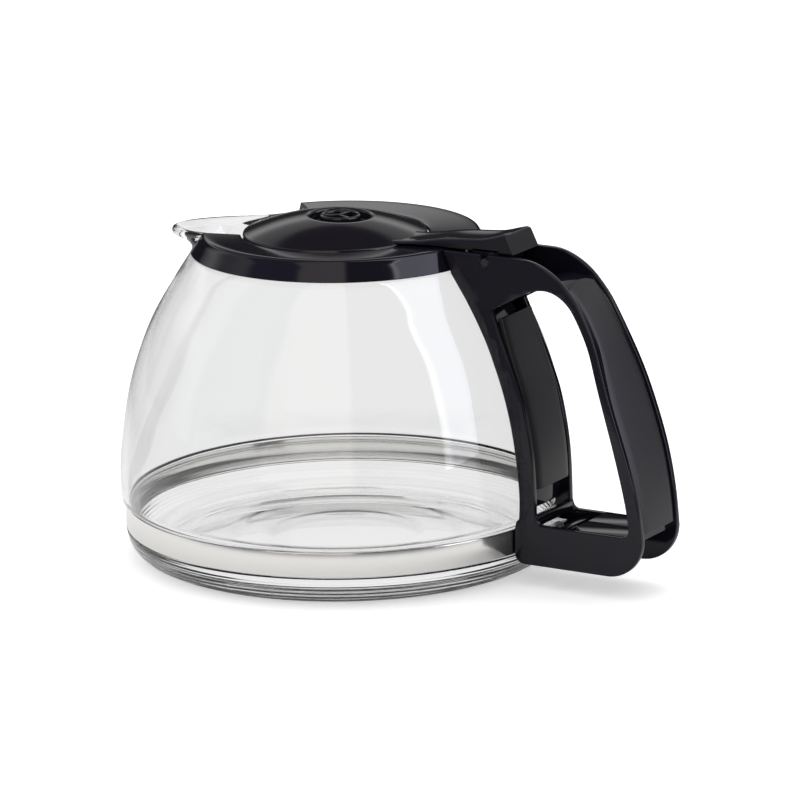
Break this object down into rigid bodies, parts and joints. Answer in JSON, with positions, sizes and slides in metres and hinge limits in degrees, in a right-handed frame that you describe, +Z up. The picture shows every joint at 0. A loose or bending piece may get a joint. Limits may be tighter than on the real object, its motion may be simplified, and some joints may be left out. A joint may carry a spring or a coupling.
{
  "type": "glass coffee jug",
  "caption": "Round glass filter-coffee jug with a moulded loop handle, clamped steel base band, C-shaped rim collar, pouring lip and a domed lid hinged up by a thumb lever.",
  "frame": {"origin": "on the jug's vertical axis, at the flat base it stands on", "axes": "+Z up along the jug's axis; +X towards the handle; the pouring lip points along -X; +Y to the left of someone who looks from the lip to the handle"},
  "size_m": [0.1913, 0.1472, 0.1136],
  "materials": {
    "clear_glass": "clear, smooth",
    "polished_steel": "polished",
    "zinc_steel": "zinc plated",
    "gloss_black": "glossy moulded",
    "gloss_black_lid": "glossy moulded",
    "satin_black": "satin moulded",
    "pin_black": "satin moulded"
  },
  "bodies": {
    "jug": {"glass_jug": "clear_glass", "base_band": "polished_steel", "band_yoke": "zinc_steel", "clamp_washer": "zinc_steel", "clamp_screw": "zinc_steel", "rim_collar": "gloss_black", "collar_screws": "zinc_steel", "handle_frame": "gloss_black", "grip_cover": "satin_black", "spine_cover": "satin_black"},
    "lid": {"lid_cover": "gloss_black_lid", "lid_plate": "satin_black", "inlet_ring": "gloss_black_lid", "hinge_pin": "pin_black"}
  },
  "joints": [
    {"name": "lid_hinge", "type": "hinge", "parent": "jug", "child": "lid", "pos_m": [0.0603, 0, 0.1046], "axis": [0, 1, 0], "range_deg": [0, 85]}
  ]
}
